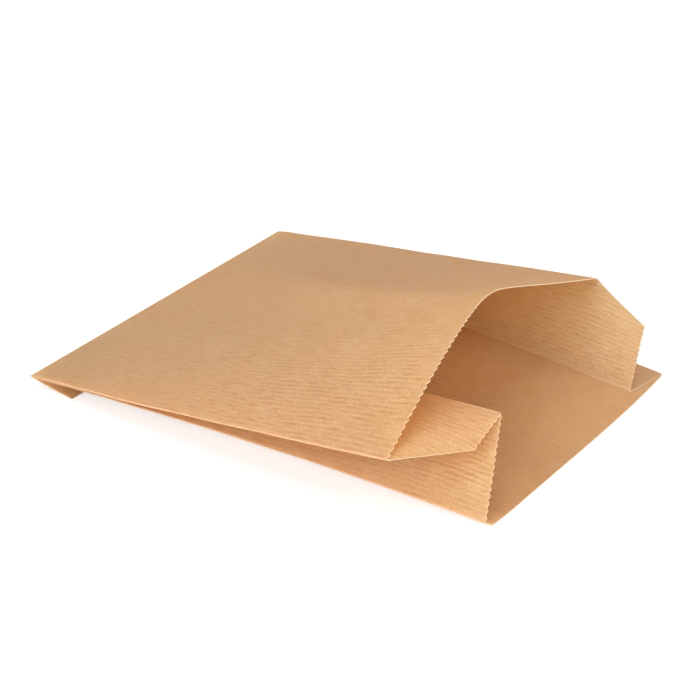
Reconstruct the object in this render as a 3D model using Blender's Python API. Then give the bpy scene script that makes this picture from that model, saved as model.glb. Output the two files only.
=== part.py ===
import math

import bmesh
import bpy
from mathutils import Vector

for old in list(bpy.data.objects):
    bpy.data.objects.remove(old, do_unlink=True)

# Flat sizes of the folded sheet
face_width = 0.140
gusset_depth = 0.033
bag_length = 0.176
paper = 0.00025
layer_gap = 0.00017
strip_length = 0.0195
seal_length = 0.006
edge_thickness = 0.0004

# Cuts at the mouth, measured back from the lip of the bottom panel
gusset_cut_back = 0.0016
top_cut_back_near = 0.0203
top_cut_back_far = 0.0226
near_shoulder = 0.0155
far_shoulder = 0.0257
tooth_pitch = 0.0022
tooth_depth = 0.0010

# How far the closed end stands off the ground
closed_height_near = 0.0040
closed_height_far = 0.0245
strip_tip_far_height = 0.0135
strip_tip_far_inset = 0.0155
flat_start = 0.120
near_edge_lift = 0.0038
near_lift_share = 0.13

# Shape of the open mouth, seen from the front
lip_near_overhang = 0.0028
lip_far_inset = 0.0065
lip_reach_near = 0.1772
lip_reach_far = 0.1718
near_fold_height = 0.0256
near_fold_inset = 0.0159
near_fold_reach = 0.1692
near_edge_height = 0.0199
near_edge_overhang = 0.0185
near_edge_reach = 0.1540
near_flap_drop = 0.0009
near_flap_tuck = 0.0208
near_flap_reach = 0.0143
crest_height = 0.0518
crest_inset = 0.0396
crest_reach = 0.1508
crest_share_closed = 0.62
crest_share_mouth = 0.456
crest_softness = 0.05
far_edge_height = 0.0353
far_edge_inset = 0.0219
far_edge_reach = 0.1517
far_flap_drop = 0.0148
far_flap_push = 0.0034
far_flap_reach = 0.0167
far_fold_height = 0.0043
far_fold_inset = 0.0379
far_fold_reach = 0.1726

# How finely the sheet is divided
face_columns = 22
gusset_columns = 5
length_rows = 18
edge_band = 0.004

layer = paper + layer_gap
half = paper / 2
gusset_end = bag_length - gusset_cut_back
near_top_end = bag_length - top_cut_back_near
far_top_end = bag_length - top_cut_back_far


def closed_height(share):
    return closed_height_near + (closed_height_far - closed_height_near) * share


def closed_point(share, level):
    return Vector((0.0, face_width * share, closed_height(share) + (level - 1.5) * layer))


def blend(start, end, share):
    return start + (end - start) * share


def bottom_point(share, s):
    along = s / bag_length
    near_x = lip_reach_near * along
    far_x = lip_reach_far * along
    near_y = -lip_near_overhang * along
    far_y = face_width - lip_far_inset * along
    rise = 0.0
    if s < flat_start:
        rise = (closed_point(share, 0).z - half) * (1 - s / flat_start) ** 2
    lift = 0.0
    if share < near_lift_share:
        lift = near_edge_lift * 4 * along * (1 - along) * (1 - share / near_lift_share) ** 2
    return Vector((blend(near_x, far_x, share), blend(near_y, far_y, share), half + rise + lift))


near_fold_mouth = Vector((near_fold_reach, near_fold_inset, near_fold_height))
far_fold_mouth = Vector((far_fold_reach, face_width - far_fold_inset, far_fold_height))
near_edge_mouth = Vector((near_edge_reach, -near_edge_overhang, near_edge_height))
far_edge_mouth = Vector((far_edge_reach, face_width - far_edge_inset, far_edge_height))
crest_mouth = Vector((crest_reach, crest_inset, crest_height))

# The corner of each gusset cut, and where the upper fold would run on to
near_corner = near_edge_mouth + Vector((near_flap_reach, near_flap_tuck, -near_flap_drop))
far_corner = far_edge_mouth + Vector((far_flap_reach, far_flap_push, -far_flap_drop))
near_turn = near_shoulder / gusset_depth
far_turn = far_shoulder / gusset_depth
near_edge_virtual = near_fold_mouth + (near_corner - near_fold_mouth) / near_turn
far_edge_virtual = far_fold_mouth + (far_corner - far_fold_mouth) / far_turn


def near_fold(s):
    start = closed_point(gusset_depth / face_width, 1)
    return blend(start, near_fold_mouth, s / gusset_end)


def far_fold(s):
    start = closed_point(1 - gusset_depth / face_width, 1)
    return blend(start, far_fold_mouth, s / gusset_end)


def near_edge(s):
    if s <= near_top_end:
        return blend(closed_point(0, 2), near_edge_mouth, s / near_top_end)
    share = (s - near_top_end) / (gusset_end - near_top_end)
    return blend(near_edge_mouth, near_edge_virtual, share)


def far_edge(s):
    if s <= far_top_end:
        return blend(closed_point(1, 2), far_edge_mouth, s / far_top_end)
    share = (s - far_top_end) / (gusset_end - far_top_end)
    return blend(far_edge_mouth, far_edge_virtual, share)


def above(point):
    return point + Vector((0, 0, layer))


def soft_step(value):
    return (value + math.sqrt(value * value + crest_softness ** 2)) / 2


def arch_point(share, crest_share):
    near = above(near_edge_mouth)
    far = above(far_edge_mouth)

    def raw(value):
        up = soft_step(value - crest_share)
        down = soft_step(crest_share - value)
        return crest_mouth + (far - crest_mouth) * (up / (1 - crest_share)) + (near - crest_mouth) * (down / crest_share)

    near_miss = near - raw(0)
    far_miss = far - raw(1)
    return raw(share) + near_miss * (1 - share) ** 2 + far_miss * share ** 2


def top_point(share, s):
    along = s / (near_top_end + (far_top_end - near_top_end) * share)
    crest_share = blend(crest_share_closed, crest_share_mouth, min(along, 1.0))
    return blend(closed_point(share, 3), arch_point(share, crest_share), along)


def even(count):
    return [index / count for index in range(count + 1)]


def near_lower(share, s):
    return blend(above(bottom_point(0, s)), near_fold(s), share)


def near_upper(share, s):
    return blend(above(near_fold(s)), near_edge(s), share)


def far_lower(share, s):
    return blend(above(bottom_point(1, s)), far_fold(s), share)


def far_upper(share, s):
    return blend(above(far_fold(s)), far_edge(s), share)


def cut_end(share, turn, top_end):
    if share <= turn:
        return gusset_end
    return blend(gusset_end, top_end, (share - turn) / (1 - turn))


# Columns run once round the sheet: bottom, far side, top, near side
columns = []


def add_column(place, share, end, toothed):
    columns.append({"place": place, "share": share, "end": end, "toothed": toothed})
    return len(columns) - 1


near_steps = [0.0, near_turn, (1 + near_turn) / 2, 1.0]
far_steps = [0.0, far_turn / 2, far_turn, (1 + far_turn) / 2, 1.0]

bottom_ids = [add_column(bottom_point, f, bag_length, False) for f in even(face_columns)]
far_lower_ids = [add_column(far_lower, f, gusset_end, True) for f in even(gusset_columns)]
far_upper_ids = [add_column(far_upper, f, cut_end(f, far_turn, far_top_end), True) for f in far_steps]
top_ids = []
for f in reversed(even(face_columns)):
    top_ids.append(add_column(top_point, f, blend(near_top_end, far_top_end, f), True))
near_upper_ids = [add_column(near_upper, f, cut_end(f, near_turn, near_top_end), True) for f in reversed(near_steps)]
near_lower_ids = [add_column(near_lower, f, gusset_end, True) for f in reversed(even(gusset_columns))]
column_count = len(columns)

folds = set()
for first, second in ((bottom_ids, far_lower_ids), (far_lower_ids, far_upper_ids), (far_upper_ids, top_ids),
                      (top_ids, near_upper_ids), (near_upper_ids, near_lower_ids), (near_lower_ids, bottom_ids)):
    folds.add(first[-1])


def middle(index, s):
    column = columns[index % column_count]
    return column["place"](column["share"], s)


def offset(index, s):
    here = middle(index, s)
    along = middle(index, s + 0.0005) - middle(index, s - 0.0005)
    back = (here - middle(index - 1, s)).cross(along).normalized()
    ahead = (middle(index + 1, s) - here).cross(along).normalized()
    joint = (back + ahead).normalized()
    return joint * (half / max(joint.dot(back), 0.55))


def skin_point(index, s, side):
    return middle(index, s) + offset(index, s) * side


verts = []
faces = []


def add_vert(point):
    verts.append(point)
    return len(verts) - 1


def row_place(index, row):
    end = columns[index]["end"] - edge_band
    return blend(seal_length, end, row / length_rows)


grid = {}
rim = {}
for side in (1, -1):
    for index in range(column_count):
        for row in range(length_rows + 1):
            grid[side, index, row] = add_vert(skin_point(index, row_place(index, row), side))

for index in range(column_count):
    after = (index + 1) % column_count
    here = columns[index]
    there = columns[after]
    teeth = 0
    if here["toothed"] and there["toothed"] and index not in folds:
        run = middle(index, here["end"]) - middle(after, there["end"])
        teeth = max(1, round(run.length / tooth_pitch))
    steps = max(1, teeth * 2)
    for side in (1, -1):
        chain = []
        for step in range(steps):
            share = step / steps
            s = blend(here["end"], there["end"], share)
            if here["toothed"] and step % 2 == 0:
                s -= tooth_depth
            first = skin_point(index, s, side)
            second = skin_point(after, s, side)
            if step == 0:
                second = first
            chain.append(add_vert(blend(first, second, share)))
        rim[side, index] = chain

for side in (1, -1):
    for index in range(column_count):
        after = (index + 1) % column_count
        for row in range(length_rows):
            quad = [grid[side, index, row], grid[side, after, row], grid[side, after, row + 1], grid[side, index, row + 1]]
            faces.append(quad if side == 1 else quad[::-1])
        low = grid[side, index, length_rows]
        high = grid[side, after, length_rows]
        chain = rim[side, index] + [rim[side, after][0]]
        centre = len(chain) // 2
        for step in range(len(chain) - 1):
            corner = low if step < centre else high
            tri = [corner, chain[step + 1], chain[step]]
            faces.append(tri if side == 1 else tri[::-1])
        tri = [low, high, chain[centre]]
        faces.append(tri if side == 1 else tri[::-1])

for index in range(column_count):
    after = (index + 1) % column_count
    outer = rim[1, index] + [rim[1, after][0]]
    inner = rim[-1, index] + [rim[-1, after][0]]
    for step in range(len(outer) - 1):
        faces.append([outer[step], outer[step + 1], inner[step + 1], inner[step]])


def bridge(first, second):
    # Fills between two chains that run the same way
    i = 0
    j = 0
    while i < len(first) - 1 or j < len(second) - 1:
        ahead_first = i < len(first) - 1
        if ahead_first and j < len(second) - 1:
            gain_first = (verts[first[i + 1]] - verts[second[j]]).length
            gain_second = (verts[second[j + 1]] - verts[first[i]]).length
            ahead_first = gain_first <= gain_second
        if ahead_first:
            faces.append([first[i], first[i + 1], second[j]])
            i += 1
        else:
            faces.append([first[i], second[j + 1], second[j]])
            j += 1


def ring(side, ids):
    return [grid[side, index, 0] for index in ids]


# Blind ends of the hollow and of the two side pleats
near_first = round(gusset_depth / face_width * face_columns)
far_last = face_columns - near_first
bottom_in = ring(-1, bottom_ids)
top_in = ring(-1, top_ids)[::-1]
near_lower_in = ring(-1, near_lower_ids)[::-1]
near_upper_in = ring(-1, near_upper_ids)
far_lower_in = ring(-1, far_lower_ids)
far_upper_in = ring(-1, far_upper_ids)[::-1]
bridge(bottom_in[:near_first + 1], near_lower_in)
bridge(near_upper_in, top_in[:near_first + 1])
bridge(bottom_in[far_last:][::-1], far_lower_in)
bridge(far_upper_in, top_in[far_last:][::-1])
bridge([near_lower_in[-1]] + bottom_in[near_first:far_last + 1] + [far_lower_in[-1]],
       [near_upper_in[-1]] + top_in[near_first:far_last + 1] + [far_upper_in[-1]])
bridge(ring(1, near_lower_ids)[::-1], ring(1, near_upper_ids))
bridge(ring(1, far_lower_ids), ring(1, far_upper_ids)[::-1])

# Pressed end with its strip turned under
strip_reach = math.sqrt(strip_length ** 2 - closed_height_near ** 2)
profiles = []
for number, share in enumerate(even(face_columns)):
    edge = closed_point(share, 1.5)
    tip = Vector((blend(strip_reach, strip_tip_far_inset, share), edge.y, blend(0.0, strip_tip_far_height, share)))
    top_skin = grid[1, top_ids[face_columns - number], 0]
    bottom_skin = grid[1, bottom_ids[number], 0]
    notch = blend(edge - Vector((0, 0, edge_thickness / 2)), verts[bottom_skin], 0.3)
    lower_edge = edge - Vector((0, 0, edge_thickness / 2))
    sag = blend(lower_edge, tip, 0.5) - Vector((0, 0, paper))
    loop = [top_skin, add_vert(edge + Vector((0, 0, edge_thickness / 2))), add_vert(lower_edge), add_vert(sag),
            add_vert(tip), add_vert(tip + Vector((0, 0, paper))), add_vert(notch), bottom_skin]
    profiles.append(loop)

for number in range(face_columns):
    here = profiles[number]
    there = profiles[number + 1]
    for step in range(len(here) - 1):
        faces.append([here[step], here[step + 1], there[step + 1], there[step]])

for loop, low, high in ((profiles[0], near_lower_ids[-1], near_upper_ids[0]),
                        (profiles[-1], far_lower_ids[0], far_upper_ids[-1])):
    around = [loop[7], grid[1, low, 0], grid[1, high, 0], loop[0], loop[1], loop[2], loop[3], loop[4], loop[5]]
    for step in range(len(around) - 1):
        faces.append([loop[6], around[step], around[step + 1]])

# Origin under the middle of the bag
low_x = min(v.x for v in verts)
high_x = max(v.x for v in verts)
low_y = min(v.y for v in verts)
high_y = max(v.y for v in verts)
low_z = min(v.z for v in verts)
shift = Vector(((low_x + high_x) / 2, (low_y + high_y) / 2, low_z))

mesh = bpy.data.meshes.new("paper_bag")
mesh.from_pydata([tuple(v - shift) for v in verts], [], faces)
mesh.update()
bag = bpy.data.objects.new("paper_bag", mesh)
bpy.context.scene.collection.objects.link(bag)

work = bmesh.new()
work.from_mesh(mesh)
bmesh.ops.recalc_face_normals(work, faces=work.faces)
work.to_mesh(mesh)
work.free()

kraft = bpy.data.materials.new("kraft_paper")
kraft.use_nodes = True
shader = kraft.node_tree.nodes["Principled BSDF"]
shader.inputs["Base Color"].default_value = (0.62, 0.40, 0.21, 1.0)
shader.inputs["Roughness"].default_value = 0.8
mesh.materials.append(kraft)
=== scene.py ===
import math
import bmesh
import bpy
from mathutils import Matrix, Vector, noise


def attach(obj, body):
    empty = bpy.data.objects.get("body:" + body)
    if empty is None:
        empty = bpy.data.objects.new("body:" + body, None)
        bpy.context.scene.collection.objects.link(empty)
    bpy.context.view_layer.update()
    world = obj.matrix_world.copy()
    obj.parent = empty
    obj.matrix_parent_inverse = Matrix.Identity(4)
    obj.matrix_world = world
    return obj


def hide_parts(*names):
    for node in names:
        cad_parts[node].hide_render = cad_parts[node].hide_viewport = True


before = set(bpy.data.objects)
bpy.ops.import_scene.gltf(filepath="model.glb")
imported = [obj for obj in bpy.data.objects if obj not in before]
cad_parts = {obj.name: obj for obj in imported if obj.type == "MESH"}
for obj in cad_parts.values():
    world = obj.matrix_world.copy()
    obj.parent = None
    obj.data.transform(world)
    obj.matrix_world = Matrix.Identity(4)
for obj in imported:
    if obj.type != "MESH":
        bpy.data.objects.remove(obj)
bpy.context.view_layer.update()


def hexColour(text):
    # sRGB hex to the linear values that shaders use
    values = [int(text[i:i + 2], 16) / 255 for i in (1, 3, 5)]
    linear = [v / 12.92 if v <= 0.04045 else ((v + 0.055) / 1.055) ** 2.4 for v in values]
    return (*linear, 1.0)


def grey(value):
    return (value, value, value, 1.0)


def clearTree(owner):
    # the empty node tree of a material or a world
    owner.use_nodes = True
    owner.node_tree.nodes.clear()
    return owner.node_tree


def addNode(tree, kind, settings=None, links=None):
    # one node, its settings by name or socket, and the sockets that feed it
    node = tree.nodes.new(kind)
    for name, value in (settings or {}).items():
        if isinstance(name, str) and hasattr(node, name):
            setattr(node, name, value)
        else:
            node.inputs[name].default_value = value
    for name, source in (links or {}).items():
        tree.links.new(source, node.inputs[name])
    return node


# the folded sheet, all lengths in metres, x along the bag, y across it
sheet = {
    "faceWidth": 0.140,
    "gussetDepth": 0.033,
    "length": 0.176,
    "paper": 0.00016,  # twice the real thickness, so that the edges show
    "layer": 0.00027,  # from one pressed layer to the next
    "seal": 0.006,  # the layers are glued together as far as this
    "edge": 0.00022,  # thickness of the pressed edge at the closed end
    "edgeTurn": 0.0004,  # paper taken up in going round it
    "closedNear": 0.0040,  # height of the closed end's two corners
    "closedFar": 0.0245,
    "stripLength": 0.0195,  # the glued strip turned under the closed end
    "stripFarHeight": 0.0135,
    "stripFarInset": 0.0155,
    "stripMiddle": 0.010,  # it sags a little here
    "stripSag": 0.00025,
    "stripRoot": 0.002,  # and its inner face leaves the bottom panel here
    "stripRootShare": 0.3,
    "bottomRest": 0.000125,  # middle of the bottom panel, where it lies on the floor
    "flatStart": 0.120,  # the near part lies on the floor from here to the mouth
    "nearLift": 0.0038,  # the near edge bows up between its ends, over this share of the width
    "nearLiftShare": 0.13,
    "farRest": (0.30, 0.72),  # across this share the bottom panel leaves the floor for the far side
    "farHug": 0.0005,  # and keeps close under the far fold, until just before the mouth
    "farHugPower": 60,
    "farBow": 0.0041,  # the far fold and the panel below it arch up together
    "farBowPower": 1.5,
    "farEdgeRise": 0.4,  # share of that rise which is left at the far edge
    "origin": (0.088606, 0.060746, 0.0),  # middle of the bag's box, as in the solid
}

mouth = {
    "lipNear": (0.1770, -0.0026),
    "lipBow": 0.0011,
    "lipCurl": 0.0008,  # the lip's near corner lifts off the floor
    "lipCurlPower": 6,
    "lipFar": (0.1718, 0.1335),
    "farFoldShare": 0.814,  # where across the lip the far fold comes to rest
    "nearFold": (0.1692, 0.0159, 0.0256),
    "nearEdge": (0.1540, -0.0185, 0.0199),
    "nearCorner": (0.1683, 0.0023, 0.0190),
    "crest": (0.1508, 0.0396, 0.0518),
    "farEdge": (0.1517, 0.1181, 0.0353),
    "farCorner": (0.1675, 0.1240, 0.01965),
    "farFold": (0.1697, 0.1099, 0.0011),
    "nearFoldBow": 0.0018,
    "archSwell": 0.0022,  # the near side of the arch is fuller than a straight slope
    "crestShareClosed": 0.78,  # the ridge runs from here, across the closed end
    "crestShareMouth": 0.456,  # to here, across the mouth
    "crestSoftness": 0.05,
}

cuts = {
    "gussetBack": 0.0016,
    "topBackNear": 0.0203,
    "topBackFar": 0.0226,
    "nearShoulder": 0.0155,
    "farShoulder": 0.0257,
    "lowerBack": 0.0004,  # the far gusset's lower layer ends almost level with the bottom lip
    "toothPitch": 0.0022,
    "toothRound": 0.38,  # how far back the shoulder of a tooth stands, as a share of its depth
    "topDepth": 0.0007,
    "nearDepth": 0.0005,
    "farStandDepth": 0.00040,  # teeth are worn shallow on the standing far edge
    "slantDepth": 0.00012,
}

relax = {
    "rows": 80,
    "bottomColumns": 70,
    "edgeBand": 0.0022,
    "slopeStep": 0.0005,
    "mitreLimit": 0.55,
    "sharpAngle": 24,
    "nearSag": 0.0010,  # the near fold hangs a little between its two ends
    "tipDroop": 0.0008,  # the pleat's fold nods where nothing backs it
    "tipLength": 0.032,
    "ridge": 0.0006,  # soft crease that runs up the front panel to the crest
    "ridgeWidth": 0.055,
    "cornerEase": 0.020,
    "waveHeight": 0.00035,  # handling waves in loose paper
    "waveLength": 0.034,
    "fineWave": 0.5,  # a second set of waves, half as high and about half as long
    "fineWaveTurns": 2.1,
    "waveFade": 0.008,  # waves die out this close to the floor
    "waveStart": 0.03,  # and this close to the closed end
    "foldHighlightNarrowing": 1.3,  # above 1, the painted highlight along a fold is narrower
    # below 1, the painted highlight along the far fold is wider, since that fold lies in shade
    "farFoldHighlightNarrowing": 0.5,
}

half = sheet["paper"] / 2
faceWidth = sheet["faceWidth"]
gussetDepth = sheet["gussetDepth"]
foldShare = gussetDepth / faceWidth
middleLevel = 1.5  # four pressed layers, counted 0 to 3 from the bottom
gussetEnd = sheet["length"] - cuts["gussetBack"]
nearTopEnd = sheet["length"] - cuts["topBackNear"]
farTopEnd = sheet["length"] - cuts["topBackFar"]
nearTurn = cuts["nearShoulder"] / gussetDepth
farTurn = cuts["farShoulder"] / gussetDepth


def mix(a, b, t):
    return a + (b - a) * t


def limit(value):
    return min(1.0, max(0.0, value))


def hump(t):
    # 0 at both ends, 1 halfway
    return math.sin(math.pi * limit(t))


def up(point):
    # one layer higher
    return point + Vector((0, 0, sheet["layer"]))


def closedPoint(share, level):
    height = mix(sheet["closedNear"], sheet["closedFar"], share)
    return Vector((0, faceWidth * share, height + (level - middleLevel) * sheet["layer"]))


def farArch(along):
    return sheet["farBow"] * hump(along) ** sheet["farBowPower"]


def bottomPoint(share, s):
    along = s / sheet["length"]
    bow = mouth["lipBow"] * 27 / 4 * share * share * (1 - share)  # full height two thirds across
    x = (mix(mouth["lipNear"][0], mouth["lipFar"][0], share) + bow) * along
    nearY = mouth["lipNear"][1] * along
    farY = mix(faceWidth, mouth["lipFar"][1], along)
    closedHeight = closedPoint(share, 0).z - half
    nearRise = closedHeight * max(0.0, 1 - s / sheet["flatStart"]) ** 2
    restShare = mix(1 - foldShare, mouth["farFoldShare"], along)
    beside = (1 - share) / (1 - restShare) if share > restShare else 1.0
    hug = sheet["farHug"] * along * (1 - along ** sheet["farHugPower"])
    farRise = closedHeight * (1 - along)
    farRise += (farArch(along) + hug) * mix(sheet["farEdgeRise"], 1.0, beside)
    start, stop = sheet["farRest"]
    rest = limit((share - start) / (stop - start))
    rise = mix(nearRise, farRise, rest * rest * (3 - 2 * rest))
    lift = 0.0
    if share < sheet["nearLiftShare"]:
        lift = sheet["nearLift"] * 4 * along * (1 - along)
        lift += mouth["lipCurl"] * along ** mouth["lipCurlPower"]
        lift *= (1 - share / sheet["nearLiftShare"]) ** 2
    return Vector((x, mix(nearY, farY, share), sheet["bottomRest"] + rise + lift))


nearFoldMouth = Vector(mouth["nearFold"])
farFoldMouth = Vector(mouth["farFold"])
nearEdgeMouth = Vector(mouth["nearEdge"])
farEdgeMouth = Vector(mouth["farEdge"])
crestMouth = Vector(mouth["crest"])
nearEdgeBeyond = nearFoldMouth + (Vector(mouth["nearCorner"]) - nearFoldMouth) / nearTurn
farEdgeBeyond = farFoldMouth + (Vector(mouth["farCorner"]) - farFoldMouth) / farTurn


def nearFold(s):
    place = mix(closedPoint(foldShare, 1), nearFoldMouth, s / gussetEnd)
    loose = max(0.0, (s - gussetEnd + relax["tipLength"]) / relax["tipLength"])
    place.z += mouth["nearFoldBow"] * hump(s / gussetEnd) - relax["tipDroop"] * loose ** 2
    return place


def farFold(s):
    place = mix(closedPoint(1 - foldShare, 1), farFoldMouth, s / gussetEnd)
    place.z += farArch(s / gussetEnd)
    return place


def nearEdge(s):
    if s <= nearTopEnd:
        place = mix(closedPoint(0, 2), nearEdgeMouth, s / nearTopEnd)
        place.z -= relax["nearSag"] * hump(s / nearTopEnd)
        return place
    return mix(nearEdgeMouth, nearEdgeBeyond, (s - nearTopEnd) / (gussetEnd - nearTopEnd))


def farEdge(s):
    if s <= farTopEnd:
        return mix(closedPoint(1, 2), farEdgeMouth, s / farTopEnd)
    return mix(farEdgeMouth, farEdgeBeyond, (s - farTopEnd) / (gussetEnd - farTopEnd))


def farEdgeEased(s):
    # the same edge with its corner rounded off, for the paper below it
    away = max(0.0, 1 - abs(s - farTopEnd) / relax["cornerEase"])
    before = (farEdge(farTopEnd) - farEdge(0)) / farTopEnd
    after = (farEdge(gussetEnd) - farEdge(farTopEnd)) / (gussetEnd - farTopEnd)
    return farEdge(s) + (after - before) * relax["cornerEase"] * away * away / 4


def softStep(value):
    return (value + math.sqrt(value * value + mouth["crestSoftness"] ** 2)) / 2


def archPoint(share, crestShare):
    near = up(nearEdgeMouth)
    far = up(farEdgeMouth)

    def softPeak(value):
        right = softStep(value - crestShare) / (1 - crestShare)
        left = softStep(crestShare - value) / crestShare
        return crestMouth + (far - crestMouth) * right + (near - crestMouth) * left

    # softening moves both ends a little, and this brings them back
    place = softPeak(share)
    place = place + (near - softPeak(0)) * (1 - share) ** 2 + (far - softPeak(1)) * share ** 2
    place.z += mouth["archSwell"] * hump(share / mouth["crestShareMouth"])
    return place


def topPoint(share, s):
    along = s / mix(nearTopEnd, farTopEnd, share)
    crestShare = mix(mouth["crestShareClosed"], mouth["crestShareMouth"], min(along, 1.0))
    place = mix(closedPoint(share, 3), archPoint(share, crestShare), along)
    bow = hump(along)
    place.z -= relax["nearSag"] * bow * (1 - share) ** 3
    away = (share - crestShare) / relax["ridgeWidth"]
    place.z += relax["ridge"] * bow / (1 + away * away)
    return place


def nearLower(share, s):
    return mix(up(bottomPoint(0, s)), nearFold(s), share)


def nearUpper(share, s):
    place = mix(up(nearFold(s)), nearEdge(s), share)
    if s > nearTopEnd:  # keeps the slanted cut straight
        reach = gussetEnd - nearTopEnd
        t = min(1.0, (s - nearTopEnd) / reach)
        drift = (nearEdgeBeyond - nearEdgeMouth) - (nearFold(gussetEnd) - nearFold(nearTopEnd))
        place -= drift * (1 - nearTurn) * t * (1 - t) * share / (1 - (1 - nearTurn) * t)
    return place


def farLower(share, s):
    return mix(up(bottomPoint(1, s)), farFold(s), share)


def farUpper(share, s):
    return mix(up(farFold(s)), mix(farEdgeEased(s), farEdge(s), share ** 3), share)


def cutEnd(share, turn, topEnd):
    # a gusset is cut square as far as its shoulder, then slants back to the front panel
    if share <= turn:
        return gussetEnd
    return mix(gussetEnd, topEnd, (share - turn) / (1 - turn))


def even(count):
    return [i / count for i in range(count + 1)]


def toothSteps(length):
    return 2 * max(1, round(length / cuts["toothPitch"]))


def standingShares(turn, shoulder, topEnd):
    # steps across a gusset's upper half, for the teeth on its square cut and on its slanted one
    slant = math.hypot(gussetDepth - shoulder, gussetEnd - topEnd)
    square = [turn * t for t in even(toothSteps(shoulder))]
    return square + [mix(turn, 1, t) for t in even(toothSteps(slant))[1:]]


def standingTeeth(shares, turn, deep):
    return [deep if share < turn else cuts["slantDepth"] for share in shares]


# columns run once round the sheet: bottom, far side, top, near side
columns = []


def addFace(place, shares, ends, teeth, across, start, highlightNarrowing=relax["foldHighlightNarrowing"]):
    # one panel of the sheet; u is the flat distance across it, for the ribs
    ids = []
    for number, share in enumerate(shares):
        ids.append(len(columns))
        columns.append({
            "place": place,
            "share": share,
            "end": ends[number],
            "tooth": teeth[number],
            "tip": number % 2 == 1,
            "u": start + across * share,
            # distance to the nearest fold, for the painted highlight along folds
            "fold": abs(across) * min(share, 1 - share) * highlightNarrowing,
        })
    return ids


bottomShares = even(relax["bottomColumns"])
gussetShares = even(toothSteps(gussetDepth))
farShares = standingShares(farTurn, cuts["farShoulder"], farTopEnd)
topShares = even(toothSteps(faceWidth))
nearShares = standingShares(nearTurn, cuts["nearShoulder"], nearTopEnd)

bottomEnds = [sheet["length"]] * len(bottomShares)
gussetEnds = [gussetEnd] * len(gussetShares)
lowerEnds = [mix(sheet["length"] - cuts["lowerBack"], gussetEnd, share ** 2) for share in gussetShares]
farEnds = [cutEnd(share, farTurn, farTopEnd) for share in farShares]
topEnds = [mix(nearTopEnd, farTopEnd, share) for share in topShares]
nearEnds = [cutEnd(share, nearTurn, nearTopEnd) for share in nearShares]

smoothCut = [0.0] * max(len(bottomShares), len(gussetShares))
farTeeth = standingTeeth(farShares, farTurn, cuts["farStandDepth"])
topTeeth = [cuts["topDepth"]] * len(topShares)
nearTeeth = standingTeeth(nearShares, nearTurn, cuts["nearDepth"])
lowerTeeth = [cuts["nearDepth"]] * len(gussetShares)

# the far side and the bottom are listed from near to far, the top and the near side back again
farStart = faceWidth + gussetDepth
nearStart = 2 * farStart
bottomIds = addFace(bottomPoint, bottomShares, bottomEnds, smoothCut, faceWidth, 0)
farLowerIds = addFace(farLower, gussetShares, lowerEnds, smoothCut, gussetDepth, faceWidth)
farUpperIds = addFace(farUpper, farShares, farEnds, farTeeth, gussetDepth, farStart, relax["farFoldHighlightNarrowing"])
topIds = addFace(topPoint, topShares[::-1], topEnds[::-1], topTeeth, -faceWidth, nearStart)
nearUpperIds = addFace(nearUpper, nearShares[::-1], nearEnds[::-1], nearTeeth[::-1],
                       -gussetDepth, nearStart + gussetDepth)
nearLowerIds = addFace(nearLower, gussetShares[::-1], gussetEnds, lowerTeeth,
                       -gussetDepth, nearStart + 2 * gussetDepth)
count = len(columns)
panels = (bottomIds, farLowerIds, farUpperIds, topIds, nearUpperIds, nearLowerIds)
lastOfPanel = {ids[-1] for ids in panels}


def middle(index, s):
    # every layer is moved by the same slow waves, so pressed layers stay together
    column = columns[index % count]
    place = column["place"](column["share"], s)
    loose = min(1.0, place.z / relax["waveFade"]) * min(1.0, max(0.0, s) / relax["waveStart"])
    wave = noise.noise(place / relax["waveLength"])
    wave += relax["fineWave"] * noise.noise(place * relax["fineWaveTurns"] / relax["waveLength"])
    place.z += relax["waveHeight"] * wave * loose
    return place


def skin(index, s, side):
    # half the paper's thickness out from its middle, mitred at the folds
    here = middle(index, s)
    along = middle(index, s + relax["slopeStep"]) - middle(index, s - relax["slopeStep"])
    back = (here - middle(index - 1, s)).cross(along).normalized()
    ahead = (middle(index + 1, s) - here).cross(along).normalized()
    joint = (back + ahead).normalized()
    return here + joint * (half / max(joint.dot(back), relax["mitreLimit"])) * side


points = []
sheetUv = []  # flat place on the sheet, across and along
highlightUv = []  # distance to the nearest fold, and to the knife cut, for the painted highlight along them
faces = []
faceMaterial = []
farOff = 0.05  # too far from a fold or a cut for the painted highlight


def addPoint(place, u, v, fold=farOff, cut=farOff):
    points.append(place)
    sheetUv.append((u, v))
    highlightUv.append((fold, cut))
    return len(points) - 1


def addPoly(ids, material=0):
    faces.append(ids)
    faceMaterial.append(material)


grid = {}
rim = {}
rows = relax["rows"]
for side in (1, -1):
    for index, column in enumerate(columns):
        stop = column["end"] - relax["edgeBand"]
        for row in range(rows + 1):
            s = mix(sheet["seal"], stop, row / rows)
            place = skin(index, s, side)
            grid[side, index, row] = addPoint(place, column["u"], s, column["fold"], column["end"] - s)

for index, here in enumerate(columns):
    after = (index + 1) % count
    there = columns[after]
    joined = here["tooth"] > 0 and there["tooth"] > 0 and index not in lastOfPanel
    for side in (1, -1):
        s = here["end"]
        if not here["tip"]:
            s -= here["tooth"]
        chain = [addPoint(skin(index, s, side), here["u"], s, here["fold"], 0)]
        if joined:  # a rounded shoulder between the root and the tip of each tooth
            s = mix(here["end"], there["end"], 0.5) - here["tooth"] * cuts["toothRound"]
            place = mix(skin(index, s, side), skin(after, s, side), 0.5)
            u = mix(here["u"], there["u"], 0.5)
            chain.append(addPoint(place, u, s, mix(here["fold"], there["fold"], 0.5), 0))
        rim[side, index] = chain


def brink(side, index):
    # the cut from one column to the next
    return rim[side, index] + [rim[side, (index + 1) % count][0]]


for side in (1, -1):
    for index in range(count):
        after = (index + 1) % count
        for row in range(rows):
            quad = [grid[side, index, row], grid[side, after, row],
                    grid[side, after, row + 1], grid[side, index, row + 1]]
            addPoly(quad[::side])
        band = [grid[side, index, rows], grid[side, after, rows]] + brink(side, index)[::-1]
        addPoly(band[::side])

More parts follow.
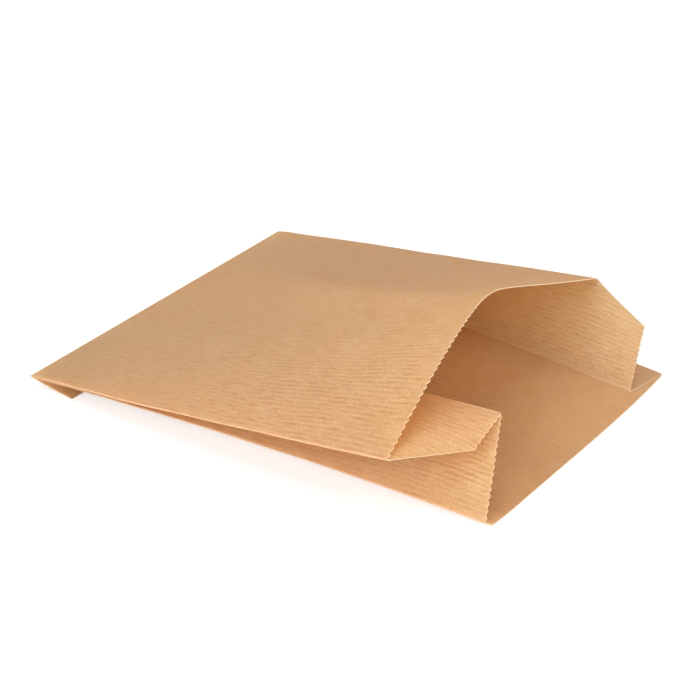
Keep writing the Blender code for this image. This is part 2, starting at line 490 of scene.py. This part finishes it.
for index in range(count):
    outer = brink(1, index)
    inner = brink(-1, index)
    for step in range(len(outer) - 1):
        addPoly([outer[step], outer[step + 1], inner[step + 1], inner[step]], 1)


def bridge(first, second):
    # fills between two chains of points that run the same way
    i = j = 0
    while i < len(first) - 1 or j < len(second) - 1:
        takeFirst = i < len(first) - 1
        if takeFirst and j < len(second) - 1:
            firstSpan = (points[first[i + 1]] - points[second[j]]).length
            secondSpan = (points[second[j + 1]] - points[first[i]]).length
            takeFirst = firstSpan <= secondSpan
        if takeFirst:
            addPoly([first[i], first[i + 1], second[j]])
            i += 1
        else:
            addPoly([first[i], second[j + 1], second[j]])
            j += 1


def ring(side, ids):
    return [grid[side, index, 0] for index in ids]


# inside, the layers close on each other where the seal starts
bottomIn = ring(-1, bottomIds)
topIn = ring(-1, topIds)[::-1]
nearCount = round(foldShare * (len(bottomIn) - 1))
nearTopCount = round(foldShare * (len(topIn) - 1))
farLast = len(bottomIn) - 1 - nearCount
farTopLast = len(topIn) - 1 - nearTopCount
nearLowerIn = ring(-1, nearLowerIds)[::-1]
nearUpperIn = ring(-1, nearUpperIds)
farLowerIn = ring(-1, farLowerIds)
farUpperIn = ring(-1, farUpperIds)[::-1]
bridge(bottomIn[:nearCount + 1], nearLowerIn)
bridge(nearUpperIn, topIn[:nearTopCount + 1])
bridge(bottomIn[farLast:][::-1], farLowerIn)
bridge(farUpperIn, topIn[farTopLast:][::-1])
bridge([nearLowerIn[-1]] + bottomIn[nearCount:farLast + 1] + [farLowerIn[-1]],
       [nearUpperIn[-1]] + topIn[nearTopCount:farTopLast + 1] + [farUpperIn[-1]])
bridge(ring(1, nearLowerIds)[::-1], ring(1, nearUpperIds))
bridge(ring(1, farLowerIds), ring(1, farUpperIds)[::-1])

# the pressed end, with its glued strip turned under
stripReach = math.sqrt(sheet["stripLength"] ** 2 - sheet["closedNear"] ** 2)
topRing = ring(1, topIds)[::-1]
bottomRing = ring(1, bottomIds)
halfEdge = Vector((0, 0, sheet["edge"] / 2))
sag = Vector((0, 0, sheet["stripSag"]))
onePaper = Vector((0, 0, sheet["paper"]))
profiles = []
for number, share in enumerate(even(len(topRing) - 1)):
    edge = closedPoint(share, middleLevel)
    lowEdge = edge - halfEdge
    tipReach = mix(stripReach, sheet["stripFarInset"], share)
    tip = Vector((tipReach, edge.y, mix(0, sheet["stripFarHeight"], share)))
    spot = share * (len(bottomRing) - 1)
    low = min(int(spot), len(bottomRing) - 2)
    under = mix(points[bottomRing[low]], points[bottomRing[low + 1]], spot - low)
    outline = [
        (edge + halfEdge, 0),
        (lowEdge, -sheet["edgeTurn"]),
        (mix(lowEdge, tip, 0.5) - sag, -sheet["stripMiddle"]),
        (tip, -sheet["stripLength"]),
        (tip + onePaper, -sheet["stripLength"]),
        (mix(lowEdge, under, sheet["stripRootShare"]), -sheet["stripRoot"]),
    ]
    u = columns[topIds[0]]["u"] + faceWidth * (1 - share)
    profiles.append([topRing[number]] + [addPoint(place, u, v) for place, v in outline])
for here, there in zip(profiles, profiles[1:]):
    for step in range(len(here) - 1):
        addPoly([here[step], here[step + 1], there[step + 1], there[step]])
bridge([profile[-1] for profile in profiles], bottomRing)
for profile, low, high, last in ((profiles[0], nearLowerIds[-1], nearUpperIds[0], bottomRing[0]),
                                 (profiles[-1], farLowerIds[0], farUpperIds[-1], bottomRing[-1])):
    around = [last, grid[1, low, 0], grid[1, high, 0]] + profile[:-1]
    for step in range(len(around) - 1):
        addPoly([profile[-1], around[step], around[step + 1]])

origin = Vector(sheet["origin"])
mesh = bpy.data.meshes.new("paperBagSheet")
mesh.from_pydata([tuple(point - origin) for point in points], [], faces)
uvLayer = mesh.uv_layers.new(name="flatSheet")
# the second map carries the distances for the painted highlight along folds and cuts
highlightLayer = mesh.uv_layers.new(name="highlightDistances")
for corner in mesh.loops:
    uvLayer.data[corner.index].uv = sheetUv[corner.vertex_index]
    highlightLayer.data[corner.index].uv = highlightUv[corner.vertex_index]
for polygon, material in zip(mesh.polygons, faceMaterial):
    polygon.material_index = material
bagSheet = bpy.data.objects.new("foldedPaperBag", mesh)
bpy.context.scene.collection.objects.link(bagSheet)

work = bmesh.new()
work.from_mesh(mesh)
bmesh.ops.recalc_face_normals(work, faces=work.faces)
bmesh.ops.triangulate(work, faces=[face for face in work.faces if len(face.verts) > 4])
work.to_mesh(mesh)
work.free()
mesh.shade_smooth()
mesh.set_sharp_from_angle(angle=math.radians(relax["sharpAngle"]))
print("sheet folded,", len(mesh.polygons), "faces")

# ribbed kraft: unbleached pulp pressed against a ribbed felt, so fine broken lines run along the bag
kraft = {
    "pale": "#EFDFB4",  # lighter than it looks, because the sheet lets a good part of the light through
    "deep": "#E9D3A2",
    "fibre": "#AE8654",
    # painted highlight: the paler tone painted along folds and cut edges, where light catches them
    "paintedHighlight": "#FBE6C4",
    "through": "#FFDAAA",  # light that has soaked through the pulp
    "throughShare": 0.57,
    "ribPitch": 0.0017,
    "ribDepth": 0.50,
    "ribHeight": 0.00005,
    "ribBump": 0.5,
    "ribWander": 2,  # a rib drifts aside by up to this many pitches
    "driftsPerMetre": 28.0,  # about every 36 mm
    "blotchesPerMetre": 70.0,  # cloudy pulp, patches of about 14 mm
    "streakAcross": 0.0007,
    "streakAlong": 0.0040,
    "streakScale": 0.7,
    "fibreWidth": 0.00035,  # coarser than the real 0.03 mm fibre, so that the fleck shows
    "fibreHeight": 0.00004,
    "fibreBump": 0.2,
    "fleck": 0.65,
    "pulpAcross": 0.00045,  # short dashes of denser pulp
    "pulpAlong": 0.0030,
    "pulpScale": 0.6,
    "pulpShare": 0.32,
    # widths and strength of the painted highlight along folds and knife cuts
    "foldHighlightWidth": 0.0007,
    "cutHighlightWidth": 0.0005,
    "paintedHighlightShare": 0.6,
    "roughness": 0.55,
    "cutRoughness": 0.9,
    "fuzzPerMetre": 900.0,  # tufts of about 1 mm, coarser than real ones, so that they show
}

# a colour Mix node has its share, its two colours and its result at these places
mixShare = 0
mixFirst = 6
mixSecond = 7
mixResult = 2


def ribbedKraft():
    material = bpy.data.materials.new("ribbed kraft paper")
    tree = clearTree(material)
    towardsFibre = {"data_type": "RGBA", mixSecond: hexColour(kraft["fibre"])}
    uv = addNode(tree, "ShaderNodeUVMap", {"uv_map": "flatSheet"})
    highlightDistances = addNode(tree, "ShaderNodeUVMap", {"uv_map": "highlightDistances"})
    # ribs wander a little, and the pulp breaks them into dashes
    wander = addNode(tree, "ShaderNodeTexNoise", {"Scale": kraft["driftsPerMetre"], "Detail": 2.0},
                     {"Vector": uv.outputs[0]})
    split = addNode(tree, "ShaderNodeSeparateXYZ", links={0: uv.outputs[0]})
    shifted = addNode(tree, "ShaderNodeMath",
                      {"operation": "MULTIPLY_ADD", 1: kraft["ribPitch"] * kraft["ribWander"]},
                      {0: wander.outputs[0], 2: split.outputs[0]})
    turns = addNode(tree, "ShaderNodeMath", {"operation": "MULTIPLY", 1: 2 * math.pi / kraft["ribPitch"]},
                    {0: shifted.outputs[0]})
    rib = addNode(tree, "ShaderNodeMath", {"operation": "SINE"}, {0: turns.outputs[0]})
    ribUp = addNode(tree, "ShaderNodeMapRange", {"From Min": -1.0, "From Max": 1.0},
                    {"Value": rib.outputs[0]})
    drawnOut = (1 / kraft["streakAcross"], 1 / kraft["streakAlong"], 1.0)
    stretch = addNode(tree, "ShaderNodeVectorMath", {"operation": "MULTIPLY", 1: drawnOut},
                      {0: uv.outputs[0]})
    streak = addNode(tree, "ShaderNodeTexNoise",
                     {"Scale": kraft["streakScale"], "Detail": 4.0, "Roughness": 0.6},
                     {"Vector": stretch.outputs[0]})
    broken = addNode(tree, "ShaderNodeMapRange", {"From Min": 0.38, "From Max": 0.62},
                     {"Value": streak.outputs[0]})
    dash = addNode(tree, "ShaderNodeMath", {"operation": "MULTIPLY"},
                   {0: ribUp.outputs[0], 1: broken.outputs[0]})
    cloud = addNode(tree, "ShaderNodeTexNoise",
                    {"Scale": kraft["blotchesPerMetre"], "Detail": 5.0, "Roughness": 0.7},
                    {"Vector": uv.outputs[0]})
    blotch = addNode(tree, "ShaderNodeMapRange", {"From Min": 0.3, "From Max": 0.7},
                     {"Value": cloud.outputs[0]})
    base = addNode(tree, "ShaderNodeMix",
                   {"data_type": "RGBA",
                    mixFirst: hexColour(kraft["pale"]),
                    mixSecond: hexColour(kraft["deep"])},
                   {mixShare: blotch.outputs[0]})
    dashShade = addNode(tree, "ShaderNodeMath", {"operation": "MULTIPLY", 1: kraft["ribDepth"]},
                        {0: dash.outputs[0]})
    ribbed = addNode(tree, "ShaderNodeMix", towardsFibre,
                     {mixShare: dashShade.outputs[0], mixFirst: base.outputs[mixResult]})
    # stray darker fibres
    grain = addNode(tree, "ShaderNodeTexNoise",
                    {"Scale": 1 / kraft["fibreWidth"] / 2, "Detail": 3.0, "Roughness": 0.7},
                    {"Vector": uv.outputs[0]})
    speck = addNode(tree, "ShaderNodeMapRange",
                    {"From Min": 0.46, "From Max": 0.72, "To Max": kraft["fleck"]},
                    {"Value": grain.outputs[0]})
    flecked = addNode(tree, "ShaderNodeMix", towardsFibre,
                      {mixShare: speck.outputs[0], mixFirst: ribbed.outputs[mixResult]})
    # denser pulp, in short dashes
    drawnOut = (1 / kraft["pulpAcross"], 1 / kraft["pulpAlong"], 1.0)
    drawn = addNode(tree, "ShaderNodeVectorMath", {"operation": "MULTIPLY", 1: drawnOut},
                    {0: uv.outputs[0]})
    pulp = addNode(tree, "ShaderNodeTexNoise",
                   {"Scale": kraft["pulpScale"], "Detail": 3.0, "Roughness": 0.6},
                   {"Vector": drawn.outputs[0]})
    dense = addNode(tree, "ShaderNodeMapRange",
                    {"From Min": 0.45, "From Max": 0.68, "To Max": kraft["pulpShare"]},
                    {"Value": pulp.outputs[0]})
    dashed = addNode(tree, "ShaderNodeMix", towardsFibre,
                     {mixShare: dense.outputs[0], mixFirst: flecked.outputs[mixResult]})
    # painted highlight: folds and cut edges are painted paler, where light catches them
    near = addNode(tree, "ShaderNodeSeparateXYZ", links={0: highlightDistances.outputs[0]})
    foldHighlit = addNode(tree, "ShaderNodeMapRange",
                      {"From Max": kraft["foldHighlightWidth"], "To Min": kraft["paintedHighlightShare"], "To Max": 0.0},
                      {"Value": near.outputs[0]})
    cutHighlit = addNode(tree, "ShaderNodeMapRange",
                     {"From Max": kraft["cutHighlightWidth"], "To Min": kraft["paintedHighlightShare"], "To Max": 0.0},
                     {"Value": near.outputs[1]})
    highlitShare = addNode(tree, "ShaderNodeMath", {"operation": "MAXIMUM"},
                     {0: foldHighlit.outputs[0], 1: cutHighlit.outputs[0]})
    tone = addNode(tree, "ShaderNodeMix", {"data_type": "RGBA", mixSecond: hexColour(kraft["paintedHighlight"])},
                   {mixShare: highlitShare.outputs[0], mixFirst: dashed.outputs[mixResult]})
    ribBump = addNode(tree, "ShaderNodeBump", {"Strength": kraft["ribBump"], "Distance": kraft["ribHeight"]},
                      {"Height": dash.outputs[0]})
    fibreBump = addNode(tree, "ShaderNodeBump",
                        {"Strength": kraft["fibreBump"], "Distance": kraft["fibreHeight"]},
                        {"Height": grain.outputs[0], "Normal": ribBump.outputs[0]})
    face = addNode(tree, "ShaderNodeBsdfPrincipled", {"Roughness": kraft["roughness"]},
                   {"Base Color": tone.outputs[mixResult], "Normal": fibreBump.outputs[0]})
    glow = addNode(tree, "ShaderNodeBsdfTranslucent", {"Color": hexColour(kraft["through"])})
    paper = addNode(tree, "ShaderNodeMixShader", {0: kraft["throughShare"]},
                    {1: face.outputs[0], 2: glow.outputs[0]})
    addNode(tree, "ShaderNodeOutputMaterial", links={"Surface": paper.outputs[0]})
    return material


def cutEdge():
    # cut kraft: the cut face is painted pale as a highlight along the knife line, broken by noise into loose
    # fibres
    material = bpy.data.materials.new("cut kraft edge")
    tree = clearTree(material)
    uv = addNode(tree, "ShaderNodeUVMap", {"uv_map": "flatSheet"})
    fuzz = addNode(tree, "ShaderNodeTexNoise", {"Scale": kraft["fuzzPerMetre"], "Detail": 3.0},
                   {"Vector": uv.outputs[0]})
    # painted highlight tone, mixed with the plain paper tone
    tone = addNode(tree, "ShaderNodeMix",
                   {"data_type": "RGBA",
                    mixFirst: hexColour(kraft["paintedHighlight"]),
                    mixSecond: hexColour(kraft["pale"])},
                   {mixShare: fuzz.outputs[0]})
    shader = addNode(tree, "ShaderNodeBsdfPrincipled", {"Roughness": kraft["cutRoughness"]},
                     {"Base Color": tone.outputs[mixResult]})
    addNode(tree, "ShaderNodeOutputMaterial", links={"Surface": shader.outputs[0]})
    return material


mesh.materials.append(ribbedKraft())
mesh.materials.append(cutEdge())
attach(bagSheet, "root")
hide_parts("paper_bag")
print("kraft applied")

# studio: white floor, four broad soft lamps and a little light all round
studio = {
    "floorSize": 60.0,  # from the bag to the floor's edge
    "floorTone": 0.80,
    "floorSeen": 0.62,  # as the eye and gloss see it: a duller tone with a lift,
    "floorLift": 0.60,  # so the floor clears to white and keeps its close shadow
    "world": 0.05,
    "lampSpread": 60,
    "lamps": {  # where the light comes from, and its strength
        "lowFrontLamp": ((-0.1, -1.0, 0.2), 3.1),
        "frontLamp": ((0.5, -0.8, 0.4), 1.1),
        "mouthLamp": ((1.0, 0.1, 0.5), 1.25),
        "topLamp": ((0.0, 0.0, 1.0), 1.45),
    },
}


def plainRays(tree):
    # rays from the eye, by way of gloss or clear glass too, but not the light that soaks through paper
    path = addNode(tree, "ShaderNodeLightPath")
    mirrored = addNode(tree, "ShaderNodeMath", {"operation": "MAXIMUM"},
                       {0: path.outputs["Is Camera Ray"], 1: path.outputs["Is Glossy Ray"]})
    clear = addNode(tree, "ShaderNodeMath", {"operation": "SUBTRACT"},
                    {0: path.outputs["Is Transmission Ray"], 1: path.outputs["Is Diffuse Ray"]})
    every = addNode(tree, "ShaderNodeMath", {"operation": "MAXIMUM"},
                    {0: mirrored.outputs[0], 1: clear.outputs[0]})
    return every.outputs[0]


def whiteSweep():
    # matt white sweep paper: no gloss, so it only takes the soft shadow
    material = bpy.data.materials.new("white sweep")
    tree = clearTree(material)
    paint = addNode(tree, "ShaderNodeBsdfDiffuse", {"Color": grey(studio["floorTone"])})
    shade = addNode(tree, "ShaderNodeBsdfDiffuse", {"Color": grey(studio["floorSeen"])})
    lift = addNode(tree, "ShaderNodeEmission", {"Color": grey(1.0), "Strength": studio["floorLift"]})
    both = addNode(tree, "ShaderNodeAddShader", links={0: shade.outputs[0], 1: lift.outputs[0]})
    seen = addNode(tree, "ShaderNodeMixShader",
                   links={0: plainRays(tree), 1: paint.outputs[0], 2: both.outputs[0]})
    addNode(tree, "ShaderNodeOutputMaterial", links={"Surface": seen.outputs[0]})
    return material


def addSun(name, comesFrom, spread, power):
    lamp = bpy.data.lights.new(name, "SUN")
    lamp.angle = math.radians(spread)
    lamp.energy = power
    holder = bpy.data.objects.new(name, lamp)
    holder.rotation_euler = (-Vector(comesFrom)).to_track_quat("-Z", "Y").to_euler()
    bpy.context.scene.collection.objects.link(holder)


scene = bpy.context.scene
floorMesh = bpy.data.meshes.new("floorPlane")
reach = studio["floorSize"]
corners = [(-reach, -reach, 0), (reach, -reach, 0), (reach, reach, 0), (-reach, reach, 0)]
floorMesh.from_pydata(corners, [], [(0, 1, 2, 3)])
floorMesh.materials.append(whiteSweep())
floor = bpy.data.objects.new("studioFloor", floorMesh)
scene.collection.objects.link(floor)

world = bpy.data.worlds.new("studioSurround")
scene.world = world
tree = clearTree(world)
dim = addNode(tree, "ShaderNodeBackground", {"Color": grey(1.0), "Strength": studio["world"]})
white = addNode(tree, "ShaderNodeBackground", {"Color": grey(1.0), "Strength": 1.0})
seen = addNode(tree, "ShaderNodeMixShader",
               links={0: plainRays(tree), 1: dim.outputs[0], 2: white.outputs[0]})
addNode(tree, "ShaderNodeOutputWorld", links={"Surface": seen.outputs[0]})

for name, (comesFrom, power) in studio["lamps"].items():
    addSun(name, comesFrom, studio["lampSpread"], power)
print("floor and lamps set")

# camera at the photograph's angle
view = {
    "place": (0.230214, -0.345037, 0.162822),
    "azimuth": 33.6665,
    "down": 19.7742,
    "roll": 0.4418,
    "lens": 67.52,  # in mm, as frameWidth is
    "frameWidth": 36,
    "clipStart": 0.01,
}
azimuth, down, roll = (math.radians(view[key]) for key in ("azimuth", "down", "roll"))
ahead = Vector((-math.sin(azimuth) * math.cos(down), math.cos(azimuth) * math.cos(down), -math.sin(down)))
right = Vector((math.cos(azimuth), math.sin(azimuth), 0))
top = right.cross(ahead)
rightRolled = right * math.cos(roll) + top * math.sin(roll)
topRolled = top * math.cos(roll) - right * math.sin(roll)
cameraData = bpy.data.cameras.new("photoCamera")
cameraData.lens = view["lens"]
cameraData.sensor_width = view["frameWidth"]
cameraData.clip_start = view["clipStart"]
camera = bpy.data.objects.new("photoCamera", cameraData)
turn = Matrix((rightRolled, topRolled, -ahead)).transposed().to_4x4()
camera.matrix_world = Matrix.Translation(view["place"]) @ turn
scene.collection.objects.link(camera)
scene.camera = camera
scene.view_settings.view_transform = "Standard"
print("camera set")
